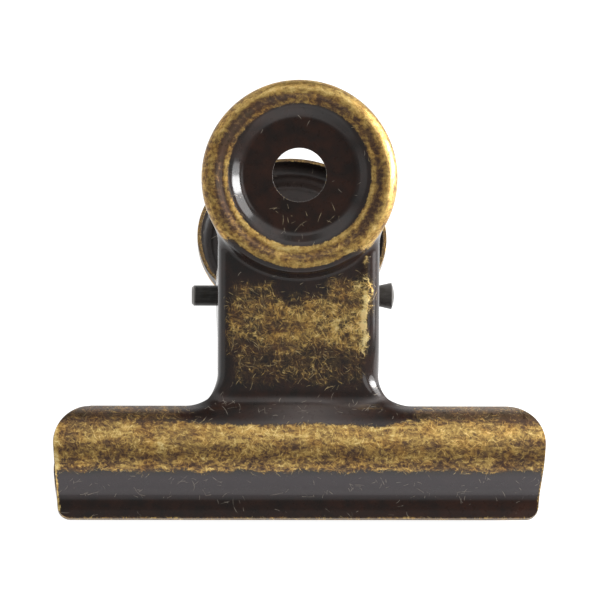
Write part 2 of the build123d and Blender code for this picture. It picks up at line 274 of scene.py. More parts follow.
def plate_surface(half, pin_hole, step=0.20):
    """The outer face of a plate as points (x, u, w), triangles and outward normals."""
    def face(p):
        return face_parts(p[:, 0], p[:, 1], p[:, 2], half)

    def cut(p):
        return trim(p, half, pin_hole) + EDGE

    gx = np.arange(-26.03, 26.2, step)
    gu = np.arange(lip_u - 1.0, 10.9, step)
    gw = np.arange(-10.35, 3.7, step)
    a = profile(gw[None, :], gu[:, None])
    b = join(np.abs(gx)[:, None] - half, gu[None, :] - jaw_top_u, root_r)
    value = face_parts(gx[:, None, None], gu[None, :, None], gw[None, None, :], half, a[None], b[:, :, None]).astype(np.float32)
    neg = value < 0
    shape = np.array(value.shape) - 1
    # cells that the face goes through
    corner_sum = np.zeros(shape, np.int8)
    for i in (0, 1):
        for j in (0, 1):
            for k in (0, 1):
                corner_sum += neg[i:shape[0] + i, j:shape[1] + j, k:shape[2] + k]
    mixed = (corner_sum > 0) & (corner_sum < 8)
    cells = np.argwhere(mixed)
    index = np.full(shape, -1, np.int64)
    index[tuple(cells.T)] = np.arange(len(cells))
    total = np.zeros((len(cells), 3))
    count = np.zeros(len(cells))
    offsets = [(i, j, k) for i in (0, 1) for j in (0, 1) for k in (0, 1)]
    for o in offsets:
        for axis in range(3):
            if o[axis]:
                continue
            e = list(o)
            e[axis] = 1
            v0 = value[tuple((cells + o).T)]
            v1 = value[tuple((cells + e).T)]
            hit = (v0 < 0) != (v1 < 0)
            t = np.where(hit, v0 / np.where(hit, v0 - v1, 1), 0)
            at = np.array(o, float)[None] + 0
            at = np.repeat(at, len(cells), 0)
            at[:, axis] += t
            total += np.where(hit[:, None], at, 0)
            count += hit
    points = (cells + total / count[:, None]) * step + np.array([gx[0], gu[0], gw[0]])
    quads = []
    for axis in range(3):
        o1, o2 = (axis + 1) % 3, (axis + 2) % 3
        lo = [slice(None)] * 3
        hi = [slice(None)] * 3
        lo[axis], hi[axis] = slice(0, -1), slice(1, None)
        change = neg[tuple(lo)] != neg[tuple(hi)]
        at = np.argwhere(change)
        inner = (at[:, o1] > 0) & (at[:, o2] > 0) & (at[:, o1] < shape[o1]) & (at[:, o2] < shape[o2])
        at = at[inner]
        flip = neg[tuple(at.T)]
        ring = []
        for d1, d2 in ((-1, -1), (0, -1), (0, 0), (-1, 0)):
            c = at.copy()
            c[:, o1] += d1
            c[:, o2] += d2
            ring.append(index[tuple(c.T)])
        ring = np.stack(ring, 1)
        ring = np.where(flip[:, None], ring, ring[:, ::-1])
        quads.append(ring)
    quads = np.concatenate(quads)
    quads = quads[(quads >= 0).all(1)]
    # keep what lies near the cut outline or inside it
    g = cut(points)
    quads = quads[(g[quads] < 2.5 * step).any(1)]
    used, quads = np.unique(quads, return_inverse=True)
    quads = quads.reshape(-1, 4)
    points = points[used]
    for _ in range(4):
        f, d = face(points), gradient(face, points)
        move = d * (f / np.maximum((d * d).sum(1), 1e-6))[:, None]
        far = np.linalg.norm(move, axis=1, keepdims=True)
        points = points - move * np.minimum(1, 0.15 / np.maximum(far, 1e-12))
    # even the spacing a little, sliding along the face
    for _ in range(3):
        acc = np.zeros_like(points)
        n = np.zeros(len(points))
        for i in range(4):
            np.add.at(acc, quads[:, i], points[quads[:, (i + 1) % 4]] + points[quads[:, i - 1]])
            np.add.at(n, quads[:, i], 2)
        d = gradient(face, points)
        d /= np.linalg.norm(d, axis=1, keepdims=True)
        step_to = (acc / np.maximum(n, 1)[:, None] - points) * 0.5
        step_to -= d * (step_to * d).sum(1)[:, None]
        points = points + step_to
        f, d = face(points), gradient(face, points)
        points = points - d * (f / np.maximum((d * d).sum(1), 1e-6))[:, None]
    # pull points that lie close to the outline onto it
    g = cut(points)
    close = np.abs(g) < 0.35 * step
    moved = points[close].copy()
    for _ in range(5):
        gc, dc = cut(moved), gradient(cut, moved)
        n = gradient(face, moved)
        n /= np.linalg.norm(n, axis=1, keepdims=True)
        dc -= n * (dc * n).sum(1)[:, None]
        size = (dc * dc).sum(1)
        moved = moved - np.where(size[:, None] > 0.05, dc * (gc / np.maximum(size, 0.05))[:, None], 0)
        f, d = face(moved), gradient(face, moved)
        moved = moved - d * (f / np.maximum((d * d).sum(1), 1e-6))[:, None]
    good = (np.abs(cut(moved)) < 4e-3) & (np.linalg.norm(moved - points[close], axis=1) < 0.6 * step)
    idx = np.flatnonzero(close)[good]
    points[idx] = moved[good]
    g = cut(points)
    g[idx] = 0
    # two triangles for each quad, over the shorter diagonal
    p = points[quads]
    short = np.linalg.norm(p[:, 0] - p[:, 2], axis=1) <= np.linalg.norm(p[:, 1] - p[:, 3], axis=1)
    t1 = np.where(short[:, None], quads[:, [0, 1, 2]], quads[:, [0, 1, 3]])
    t2 = np.where(short[:, None], quads[:, [0, 2, 3]], quads[:, [1, 2, 3]])
    tris = np.concatenate([t1, t2])
    s = np.sign(g).astype(int)
    st = s[tris]
    whole = (st <= 0).all(1) & (st < 0).any(1)
    flat = (st == 0).all(1)
    if flat.any():
        whole |= flat & (cut(points[tris].mean(1)) < 0)
    split = (st < 0).any(1) & (st > 0).any(1)
    kept = [tris[whole]]
    # where an edge crosses the outline
    t = tris[split]
    edges = np.sort(np.concatenate([t[:, [0, 1]], t[:, [1, 2]], t[:, [2, 0]]]), 1)
    edges = np.unique(edges[s[edges[:, 0]] * s[edges[:, 1]] < 0], axis=0)
    flip = s[edges[:, 0]] > 0
    inner = np.where(flip, edges[:, 1], edges[:, 0])
    outer = np.where(flip, edges[:, 0], edges[:, 1])
    lo, hi = np.zeros(len(edges)), np.ones(len(edges))
    for _ in range(14):
        mid = (lo + hi) / 2
        v = cut(points[inner] + (points[outer] - points[inner]) * mid[:, None])
        lo, hi = np.where(v < 0, mid, lo), np.where(v < 0, hi, mid)
    new = points[inner] + (points[outer] - points[inner]) * lo[:, None]
    f, d = face(new), gradient(face, new)
    new = new - d * (f / np.maximum((d * d).sum(1), 1e-6))[:, None]
    cross = {(int(a_), int(b_)): len(points) + i for i, (a_, b_) in enumerate(edges)}
    points = np.concatenate([points, new])
    made = []
    for tri in t.tolist():
        sg = [s[v] for v in tri]
        ring = []
        for i in range(3):
            v, n = tri[i], tri[(i + 1) % 3]
            if sg[i] <= 0:
                ring.append(v)
            if sg[i] * sg[(i + 1) % 3] < 0:
                ring.append(cross[(min(v, n), max(v, n))])
        for i in range(1, len(ring) - 1):
            made.append((ring[0], ring[i], ring[i + 1]))
    kept.append(np.array(made, np.int64).reshape(-1, 3))
    tris = np.concatenate(kept)
    used, tris = np.unique(tris, return_inverse=True)
    tris = tris.reshape(-1, 3)
    points = points[used]
    normals = gradient(face, points)
    normals /= np.linalg.norm(normals, axis=1, keepdims=True)
    return points, tris, normals


def plate_mesh(half, pin_hole):
    """Both faces of the sheet and its rounded cut edges: points, normals, faces, and per point (depth, edge)."""
    points, tris, normals = plate_surface(half, pin_hole)
    n = len(points)
    e = np.concatenate([tris[:, [0, 1]], tris[:, [1, 2]], tris[:, [2, 0]]])
    key = np.sort(e, 1)
    _, first, counts = np.unique(key, axis=0, return_index=True, return_counts=True)
    rim = e[first[counts == 1]]
    # outward along the face at each cut edge
    way = points[rim[:, 1]] - points[rim[:, 0]]
    way /= np.maximum(np.linalg.norm(way, axis=1, keepdims=True), 1e-12)
    out = np.zeros_like(points)
    for i in (0, 1):
        np.add.at(out, rim[:, i], np.cross(way, normals[rim[:, i]]))
    on = np.unique(rim)
    b = out[on]
    b -= normals[on] * (b * normals[on]).sum(1)[:, None]
    b /= np.maximum(np.linalg.norm(b, axis=1, keepdims=True), 1e-12)
    nn, pp = normals[on], points[on]
    rows, row_normals, row_depth = [], [], []
    for a in (pi / 6, pi / 3, pi / 2):
        d = nn * cos(a) + b * sin(a)
        rows.append(pp - nn * EDGE + d * EDGE)
        row_normals.append(d)
        row_depth.append(0.0)
    for a in (0, pi / 6, pi / 3):
        d = b * cos(a) - nn * sin(a)
        rows.append(pp - nn * (sheet - EDGE) + d * EDGE)
        row_normals.append(d)
        row_depth.append(1.0)
    place = np.full(n, -1)
    place[on] = np.arange(len(on))
    m = len(on)
    all_points = np.concatenate([points, points - normals * sheet] + rows)
    all_normals = np.concatenate([normals, -normals] + row_normals)
    depth = np.concatenate([np.zeros(n), np.ones(n)] + [np.full(m, d) for d in row_depth])
    edge = np.concatenate([np.zeros(n), np.zeros(n)] + [np.ones(m) for _ in rows])
    edge[on] = 0.6
    edge[on + n] = 0.6
    base = np.concatenate([points, points] + [pp] * 6)
    faces = [tris, tris[:, ::-1] + n]
    a, c = rim[:, 0], rim[:, 1]
    levels = [(a, c)] + [(2 * n + k * m + place[a], 2 * n + k * m + place[c]) for k in range(6)] + [(a + n, c + n)]
    strips = []
    for (a0, c0), (a1, c1) in zip(levels, levels[1:]):
        strips.append(np.stack([a0, a1, c1, c0], 1))
    return all_points, all_normals, faces, strips, depth, edge, base


# ---------------------------------------------------------------------------
# where the dark finish is rubbed through to the brass, with painted light and shade
# ---------------------------------------------------------------------------
def ease(a, b, x):
    t = np.clip((x - a) / (b - a), 0, 1)
    return t * t * (3 - 2 * t)


def zone(x, a, b, soft):
    return ease(a - soft, a + soft, x) * (1 - ease(b - soft, b + soft, x))


def stem_length(u):
    """Length up the profile for a height up the stem, so that patterns aren't stretched on the jaw."""
    us = np.linspace(lip_u - 1, 12, 900)
    lo, hi = np.full(us.shape, -4.0), np.full(us.shape, 5.0)
    for _ in range(30):
        mid = (lo + hi) / 2
        v = profile(mid, us)
        lo, hi = np.where(v < 0, mid, lo), np.where(v < 0, hi, mid)
    run = np.concatenate([[0], np.cumsum(np.hypot(np.diff(us), np.diff(lo)))])
    return np.interp(u, us, run)


def wear_and_painted_light(p, half):
    """How far the finish is rubbed through, from where the clip is handled, and how light the brass under it is,
    with painted highlights, painted shade and painted reflections.
    """
    x, u, w = p[:, 0], p[:, 1], p[:, 2]
    ax = np.abs(x)
    rho, rho2 = np.hypot(x, u), np.hypot(x, u - dish_up)
    behind = -profile(w, u)
    z = disc_z - w * sa + u * ca
    lean_len = hypot(jaw_taper, crest_u - lip_u)
    end = -np.maximum(((ax - jaw_half) * (crest_u - lip_u) - (u - crest_u) * jaw_taper) / lean_len, ax - jaw_half)
    v = np.full(len(p), 0.0)
    tone = np.full(len(p), 0.45)
    # jaw: a painted highlight band above the crest, mottled below it with painted shade lower down, scratched at the
    # top
    wander = 0.16 * np.sin(0.55 * x + 0.8) + 0.10 * np.sin(1.31 * x) + 0.12 * np.sin(0.23 * x + 2.0)
    under = 0.10 * np.sin(0.9 * x + 0.4) + 0.08 * np.sin(2.1 * x + 1.0)
    top = -24.45 - 0.66 * (1 - ease(7.0, 15.5, ax)) + 0.55 * wander
    jaw = ease(-30.35, -29.30, u - under) * (1 - ease(top - 0.42, top + 0.42, u))
    v = np.maximum(v, 1.0 * jaw)
    v = np.maximum(v, 0.60 * zone(u, -25.4, -22.5, 0.30) * ease(9.5, 14.0, ax))
    highlight_band = zone(u, -27.2 + 0.5 * wander, -24.9 + 0.5 * wander, 0.75)
    # painted highlight on the band above the crest; painted shade lower on the belly, which faces down
    jaw_tone_and_highlight = 0.435 + 0.13 * highlight_band + 0.01 * zone(u, -28.9, -27.3, 0.4) - 0.08 * ease(-28.8, -30.0, u) - 0.22 * ease(-25.2, -24.3, u)
    jaw_tone_and_highlight = jaw_tone_and_highlight - 0.09 * ease(17.5, 23.5, ax)
    tone = np.where(u < -22.9, jaw_tone_and_highlight, tone)
    # its ends are rubbed bare along the edge, more at the left
    strip = np.maximum((1 - ease(0.34, 0.66, end)) * zone(u, -30.0, -24.6, 0.8), (1 - ease(0.10, 0.36, end)) * zone(u, -34.3, -29.5, 0.7))
    strip = np.where(x < 0, strip, 0.8 * (1 - ease(0.06, 0.26, end)) * zone(u, -34.3, -25.5, 0.8)) * (u < -23.0)
    v = np.maximum(v, 0.95 * strip)
    tone = tone + strip * (np.where(x < 0, 0.86, 0.66) - tone)
    v = np.maximum(v, 0.62 * (1 - ease(0.04, 0.22, z)) * (u < -30))
    # stem: one rubbed patch, browner at the left, thinner towards its foot, and a rubbed streak down the right bend
    # that also carries a painted highlight
    core = zone(x, -7.5, 6.7, 0.5) * zone(u, -17.9 + 0.5 * np.sin(0.8 * x), -11.9, 1.5)
    level = 0.71 - 0.13 * (1 - ease(-5.0, -2.2, x)) - 0.10 * zone(x, -2.4, 1.6, 0.8) * ease(-13.6, -12.2, u)
    foot_part = zone(x, -6.6, 6.6, 0.7) * zone(u, -21.2, -15.0, 0.8)
    thin = 0.43 - 0.06 * zone(x, -4.2, -2.4, 0.5) - 0.02 * ease(3.0, 5.0, x) - 0.10 * ease(-19.8, -21.0, u)
    horns = np.maximum(0.54 * zone(x, -6.8, -2.4, 0.6) * zone(u, -12.6, -10.5, 0.6), 0.58 * zone(x, 2.6, 7.0, 0.7) * zone(u, -12.8, -10.1, 0.6))
    drift = x - 6.68 - 0.30 * ease(-14.5, -8.1, u) - 0.10 * np.sin(1.9 * u + 0.7)
    streak_and_highlight = zone(drift, -0.34, 0.34, 0.34) * (0.88 + 0.12 * np.sin(2.9 * u + 1.7 * x))
    streak_and_highlight = np.maximum(0.98 * streak_and_highlight * zone(u, -18.1, -11.0, 0.8), 0.48 * zone(x, 5.7, 7.2, 0.5) * zone(u, -11.6, -9.4, 0.7))
    streak_and_highlight = np.maximum(streak_and_highlight, 0.52 * zone(x, 6.5, 7.1, 0.25) * zone(u, -9.8, -7.6, 0.4))
    streak_and_highlight = np.maximum(streak_and_highlight, 0.50 * ease(6.3, 6.9, x) * (1 - ease(7.5, 8.1, x)) * zone(u, -13.9, -10.4, 0.6))
    patch = np.maximum(np.maximum(np.maximum(core * level, foot_part * thin), horns), streak_and_highlight)
    v = np.maximum(v, np.where(u > -22.5, patch, 0))
    # the tone is raised along the streak: a painted highlight on the right bend over the rubbed brass
    stem_tone = 0.37 + 0.05 * core + 0.10 * zone(x, -1.5, 5.0, 2.0) * zone(u, -17.0, -13.0, 1.2) + 0.74 * streak_and_highlight + 0.10 * zone(x, 3.0, 6.6, 0.9) * zone(u, -15.6, -13.6, 0.6) + 0.09 * zone(x, 3.6, 6.6, 0.9) * zone(u, -17.6, -13.4, 0.8) - 0.08 * ease(5.6, 6.6, x) * ease(-13.0, -11.5, u)
    tone = np.where(u > -22.4, stem_tone, tone)
    # thumb disc: gold bead, mottled saddle, painted highlight on the inner ridge, dark dish
    angle = np.arctan2(u, x)
    bead = (rho < disc_r + 0.4) & (w > -0.45) & (rho2 > 6.95)
    mid = (rho + rho2) / 2
    # the mottled band is narrower towards the upper right
    upper_right = ease(0.1, 0.8, np.cos(angle - 0.8))
    mottle = zone(mid, 7.82, 8.72 - 0.40 * upper_right, 0.24 + 0.10 * upper_right) * (1 - 0.22 * upper_right)
    mottle = mottle * (0.80 + 0.20 * np.sin(5 * np.arctan2(u, x) + 1.0) * np.sin(3 * np.arctan2(u, x) + 0.4))
    warm = 0.5 + 0.5 * np.cos(angle - 2.3)
    below = ease(2.0, 7.5, -u)
    # painted light in the ring's tone: painted shade on the left, a painted highlight line on the inner ridge, a
    # painted highlight on the outer crest strongest towards the upper right, paler outside at the top; darker on the
    # inner band at the top
    ring_tone_and_highlight = 0.52 + 0.03 * below - 0.06 * ease(2.0, 8.0, -x) - mottle * (0.50 - 0.28 * below) + 0.16 * np.exp(-((rho2 - 7.62) / 0.15) ** 2)
    ring_tone_and_highlight = ring_tone_and_highlight + 0.12 * np.exp(-((rho - 9.25) / 0.32) ** 2) * (0.55 + 0.45 * np.cos(angle - 0.9))
    ring_tone_and_highlight = ring_tone_and_highlight + 0.04 * ease(8.3, 9.0, rho) * ease(1.0, 7.0, u) - 0.18 * zone(mid, 7.25, 7.95, 0.2) * ease(1.0, 5.0, u)
    ring = ease(7.12, 7.46, rho2) * (1 - mottle * (0.20 + 0.22 * warm) * (1 - 0.6 * below)) * ease(0.02, 0.55, w)
    # painted shade: the bead's outer wall is kept dark where it meets the stem
    shade_under_bead = np.where(x > 0, ease(6.2, 8.2, -u), ease(5.0, 7.6, -u))
    ring = ring * (1 - shade_under_bead * ease(9.02, 9.32, rho))
    v = np.where(bead, ring, v)
    tone = np.where(bead, ring_tone_and_highlight, tone)
    inside = rho2 < 6.95
    v = np.where(inside, 0.05 * zone(u, -5.2, -2.6, 0.5) * zone(x, -3.2, 4.6, 0.8), v)
    # turned walls keep their finish
    wall = (behind > 0.9) & ~bead & ~inside
    v = np.where(wall, 0.0, v)
    # painted reflection: the dish's sloping wall is painted paler grey, most at the top
    painted_sheen = zone(rho2, 6.02, 7.12, 0.10) * (w > -0.2) * (0.03 + 0.28 * ease(4.9, 6.3, u) + 0.10 * ease(1.0, 5.5, -u))
    # painted reflection: a pale grey line low on the jaw's slope
    painted_sheen = np.maximum(painted_sheen, 0.23 * zone(u, -32.45, -31.75, 0.30) * (behind < 0.5))
    # painted reflection: a broad grey band in the hollow at the stem's foot
    painted_sheen = np.maximum(painted_sheen, 0.80 * zone(u, -25.2, -23.0, 0.35) * np.exp(-((x - 0.8) / 4.6) ** 2) * (behind < 0.5))
    # painted reflection: a soft grey sweep along the foot of the stem
    reflection_sweep = -22.65 - 0.55 * np.exp(-((x - 5.2) / 2.6) ** 2) + 0.45 * np.exp(-((x - 9.2) / 1.6) ** 2) + 0.35 * np.exp(-((x + 8.5) / 1.5) ** 2)
    painted_sheen = np.maximum(painted_sheen, (0.12 + 0.48 * ease(-6.0, 0.0, x) + 0.20 * ease(4.0, 8.0, x)) * np.exp(-((u - reflection_sweep) / 0.34) ** 2) * (behind < 0.5))
    # how much it shows single scratches, how shiny the lacquer is, how red and how plum coloured
    lip_part = ease(-32.6, -33.0, u)
    slope_part = zone(u, -32.5, -30.2, 0.35) * (behind < 0.3)
    dish_part = 1 - ease(5.7, 6.1, rho2)
    fold_part = zone(u, -24.5, -22.0, 0.25) * ease(8.2, 9.2, ax)
    hairy = np.where(bead, 0.10, np.where(u > -22.5, 1.0, 0.8))
    top_bend = zone(x, 6.0, 8.0, 0.4) * zone(u, -13.5, -6.0, 1.0)
    shine = 0.72 - 0.40 * top_bend - 0.26 * lip_part + 0.10 * slope_part - 0.44 * dish_part - 0.62 * fold_part - 0.34 * zone(u, -22.8, -21.7, 0.30) * (1 - ease(5.5, 8.5, ax)) * (behind < 0.5)
    red = np.maximum(lip_part * (0.45 + 0.55 * ease(-8.0, 14.0, x)), 0.30 * dish_part)
    around = np.stack([9 * x / np.maximum(rho2, 0.1), 9 * (u - dish_up) / np.maximum(rho2, 0.1), rho2 - w], 1)
    return v, tone, painted_sheen, np.stack([hairy, shine, red], 1), slope_part, around


def make_plate(name, half, pin_hole, back):
    points, normals, faces, strips, depth, edge, base = plate_mesh(half, pin_hole)
    place = clip_to_row(web_to_clip(points, back)) * MM
    turn = (web_to_clip(normals, back) - web_to_clip(np.zeros(3), back)) @ CLIP_AXES
    tri = np.concatenate(faces)
    quad = np.concatenate(strips)
    mesh = bpy.data.meshes.new(name)
    mesh.vertices.add(len(place))
    mesh.vertices.foreach_set("co", place.astype(np.float32).ravel())
    corners = np.concatenate([tri.ravel(), quad.ravel()])
    starts = np.concatenate([np.arange(len(tri)) * 3, len(tri) * 3 + np.arange(len(quad)) * 4])
    mesh.loops.add(len(corners))
    mesh.loops.foreach_set("vertex_index", corners.astype(np.int32))
    mesh.polygons.add(len(starts))
    mesh.polygons.foreach_set("loop_start", starts.astype(np.int32))
    mesh.polygons.foreach_set("use_smooth", np.ones(len(starts), bool))
    mesh.update(calc_edges=True)
    mesh.normals_split_custom_set_from_vertices(turn.astype(np.float32))
    # flat-pattern place in millimetres, and the wear with its painted light
    behind = np.maximum(-profile(base[:, 2], base[:, 1]), 0)
    side = np.sign(base[:, 0])
    on_jaw = base[:, 1] < jaw_top_u + 0.2
    bx = base[:, 0] + np.where(on_jaw, 0, side * 0.85 * behind)
    by = stem_length(base[:, 1]) + np.where(on_jaw, 0.85 * behind, 0)
    # down the disc's outer wall the pattern carries on outwards
    from_c = np.hypot(base[:, 0], base[:, 1])
    down = np.where((from_c > 8.6) & (from_c < disc_r + 0.4) & (base[:, 1] > -7.0), np.clip(bead_h - base[:, 2], 0, 2.2), 0)
    bx = bx + down * base[:, 0] / np.maximum(from_c, 1)
    by = by + down * base[:, 1] / np.maximum(from_c, 1)
    flat = np.stack([bx + (60 if back else 0), by, 9.0 * depth], 1)
    v, tone, painted_sheen, lay, plum, around = wear_and_painted_light(base, half)
    lay = np.where(depth[:, None] > 0.5, [1.0, 0.60, 0.0], lay)
    v = np.where(depth > 0.5, 0.0, v)
    painted_sheen = np.where(depth > 0.5, 0.0, painted_sheen)
    cut = edge > 0.9
    round_hole = np.hypot(base[:, 0], base[:, 1] - dish_up) < hole_r + 0.3
    v = np.where(cut, np.where(round_hole, 0.34, 0.58 if back else 0.60), v)
    tone = np.where(cut, 0.42, tone)
    # painted highlight: the round hole's cut rim is painted paler grey
    painted_sheen = np.where(cut & round_hole, 0.6, painted_sheen)
    wear_and_highlight = np.stack([v, tone, depth], 1)
    # loose scratches gather on the lower slope, the lip and the jaw's top
    low_part = zone(base[:, 1], -32.8, -30.2, 0.5) * 0.22 + zone(base[:, 1], -34.8, -32.9, 0.3) * 0.07 + zone(base[:, 1], -24.6, -21.0, 0.5) * 0.22
    low_part = low_part + 0.10 * zone(base[:, 1], -6.5, -2.6, 0.8) * zone(base[:, 0], -3.4, 4.8, 0.8)
    # painted grey sheen, loose scratches and plum tint
    sheen_loose_plum = np.stack([painted_sheen, np.where(depth > 0.5, 0.0, low_part), plum], 1)
    for key, data in (("flat_place", flat), ("wear_and_highlight", wear_and_highlight), ("sheen_loose_plum", sheen_loose_plum), ("lay", lay), ("around", around)):
        at = mesh.attributes.new(key, "FLOAT_VECTOR", "POINT")
        at.data.foreach_set("vector", data.astype(np.float32).ravel())
    obj = bpy.data.objects.new(name, mesh)
    bpy.context.scene.collection.objects.link(obj)
    return obj


front = make_plate("front_plate_sheet", stem_half, pin_r, False)
rear = make_plate("rear_plate_sheet", stem_half - sheet - ear_side_gap, pin_r + pin_running, True)
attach(front, "front_half")
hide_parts("front_plate")
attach(rear, "rear_half")
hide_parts("rear_plate")


# ---------------------------------------------------------------------------
# torsion spring: a coil on the pin and two legs, twisting between the plates
# ---------------------------------------------------------------------------
def make_spring():
    leg_w = -pin_w + floor_h - sheet - leg_gap - wire_r
    leg_dist = hypot(leg_reach, leg_w)
    leg_dir = atan2(leg_reach * ca - leg_w * sa, leg_reach * sa + leg_w * ca)
    leave = leg_dir - acos(coil_r / leg_dist)
    leg_len = sqrt(leg_dist ** 2 - coil_r ** 2)
    turns = coil_turns + (2 * degrees(leave) + 180) / 360
    pitch = 2 * coil_half / turns / (2 * pi)
    start = pi - leave
    t = np.linspace(0, turns * 2 * pi, int(turns * 56))
    coil = np.stack([coil_half - pitch * t, -coil_r * np.cos(start + t), pivot_z + coil_r * np.sin(start + t)], 1)
    way = np.stack([np.full_like(t, -pitch), coil_r * np.sin(start + t), coil_r * np.cos(start + t)], 1)
    way /= np.linalg.norm(way, axis=1, keepdims=True)
    run = leg_len * hypot(1, pitch / coil_r)
    steps = np.linspace(0, run, 26)[1:]
    line = np.concatenate([coil[0] - way[0] * steps[::-1, None], coil, coil[-1] + way[-1] * steps[:, None]])
    tangent = np.concatenate([np.repeat(way[:1], 25, 0), way, np.repeat(way[-1:], 25, 0)])
    # each ring square to the wire, turned as little as possible
    axis = np.array([1.0, 0, 0])
    n1 = axis - tangent * (tangent @ axis)[:, None]
    n1 /= np.linalg.norm(n1, axis=1, keepdims=True)
    n2 = np.cross(tangent, n1)
    # ends: a small rounded edge and a flat cut
    radius = np.full(len(line), wire_r)
    ease_in = [(0.0, 0.0), (0.0, 0.72), (0.02, 0.86), (0.07, 0.95), (0.15, 1.0)]
    head = np.stack([line[0] + tangent[0] * a for a, _ in ease_in])
    tail = np.stack([line[-1] - tangent[-1] * a for a, _ in ease_in[::-1]])
    line = np.concatenate([head, line[1:-1], tail])
    radius = np.concatenate([[wire_r * b for _, b in ease_in], radius[1:-1], [wire_r * b for _, b in ease_in[::-1]]])
    n1 = np.concatenate([np.repeat(n1[:1], 5, 0), n1[1:-1], np.repeat(n1[-1:], 5, 0)])
    n2 = np.concatenate([np.repeat(n2[:1], 5, 0), n2[1:-1], np.repeat(n2[-1:], 5, 0)])
    sides = 18
    a = np.arange(sides) * 2 * pi / sides
    ring = line[:, None] + radius[:, None, None] * (np.cos(a)[None, :, None] * n1[:, None] + np.sin(a)[None, :, None] * n2[:, None])
    length = np.concatenate([[0], np.cumsum(np.linalg.norm(np.diff(line, axis=0), axis=1))])
    place = np.stack([np.broadcast_to(np.cos(a)[None] * 0.55, ring.shape[:2]), np.broadcast_to(np.sin(a)[None] * 0.55, ring.shape[:2]),
                      np.broadcast_to(length[:, None], ring.shape[:2])], -1)
    faces = []
    for i in range(len(line) - 1):
        for j in range(sides):
            k = (j + 1) % sides
            faces.append((i * sides + j, i * sides + k, (i + 1) * sides + k, (i + 1) * sides + j))
    mesh = bpy.data.meshes.new("torsion_spring_wire")
    mesh.from_pydata((clip_to_row(ring.reshape(-1, 3)) * MM).tolist(), [], faces)
    at = mesh.attributes.new("wire_place", "FLOAT_VECTOR", "POINT")
    at.data.foreach_set("vector", place.astype(np.float32).ravel())
    mesh.polygons.foreach_set("use_smooth", np.ones(len(faces), bool))
    mesh.update()
    obj = bpy.data.objects.new("torsion_spring_wire", mesh)
    bpy.context.scene.collection.objects.link(obj)
    return obj


spring = make_spring()
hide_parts("torsion_spring")
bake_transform(spring)


# ---------------------------------------------------------------------------
# materials
# ---------------------------------------------------------------------------
class Nodes:
    """Short hand for building one material's node tree."""

    def __init__(self, tree):
        self.tree = tree

    def new(self, kind, **props):
        n = self.tree.nodes.new(kind)
        for k, v in props.items():
            setattr(n, k, v)
        return n

    def put(self, socket, value):
        if isinstance(value, bpy.types.NodeSocket):
            self.tree.links.new(value, socket)
        elif value is not None:
            socket.default_value = value

    def math(self, op, a, b=None, c=None, clamp=False):
        n = self.new("ShaderNodeMath", operation=op, use_clamp=clamp)
        for i, v in enumerate((a, b, c)):
            self.put(n.inputs[i], v)
        return n.outputs[0]

    def vec(self, op, a, b=None, scale=None):
        n = self.new("ShaderNodeVectorMath", operation=op)
        self.put(n.inputs[0], a)
        self.put(n.inputs[1], b)
        if scale is not None:
            self.put(n.inputs["Scale"], scale)
        return n.outputs["Value" if op in ("DOT_PRODUCT", "LENGTH") else "Vector"]

    def split(self, v):
        return self.new_split(v)

    def new_split(self, v):
        n = self.new("ShaderNodeSeparateXYZ")
        self.put(n.inputs[0], v)
        return n.outputs[0], n.outputs[1], n.outputs[2]

    def join(self, x, y, z=0.0):
        n = self.new("ShaderNodeCombineXYZ")
        for i, v in enumerate((x, y, z)):
            self.put(n.inputs[i], v)
        return n.outputs[0]

    def fit(self, v, a, b, c=0.0, d=1.0, smooth=False):
        n = self.new("ShaderNodeMapRange", interpolation_type="SMOOTHSTEP" if smooth else "LINEAR")
        for i, value in enumerate((v, a, b, c, d)):
            self.put(n.inputs[i], value)
        return n.outputs[0]

    def mix(self, f, a, b):
        n = self.new("ShaderNodeMix", data_type="RGBA")
        self.put(n.inputs["Factor"], f)
        self.put(n.inputs[6], a)
        self.put(n.inputs[7], b)
        return n.outputs[2]

    def blend(self, f, a, b):
        n = self.new("ShaderNodeMix", data_type="FLOAT")
        self.put(n.inputs["Factor"], f)
        self.put(n.inputs[2], a)
        self.put(n.inputs[3], b)
        return n.outputs[0]

    def noise(self, v, scale, detail=2.0, rough=0.5, warp=0.0, dims="3D", color=False):
        n = self.new("ShaderNodeTexNoise", noise_dimensions=dims)
        self.put(n.inputs["Vector"], v)
        n.inputs["Scale"].default_value = scale
        n.inputs["Detail"].default_value = detail
        n.inputs["Roughness"].default_value = rough
        n.inputs["Distortion"].default_value = warp
        return n.outputs["Color" if color else 0]

    def ramp(self, v, stops):
        n = self.new("ShaderNodeValToRGB")
        self.put(n.inputs[0], v)
        e = n.color_ramp.elements
        while len(e) < len(stops):
            e.new(0.5)
        for el, (pos, col) in zip(e, stops):
            el.position = pos
            el.color = (*col, 1)
        return n.outputs[0]


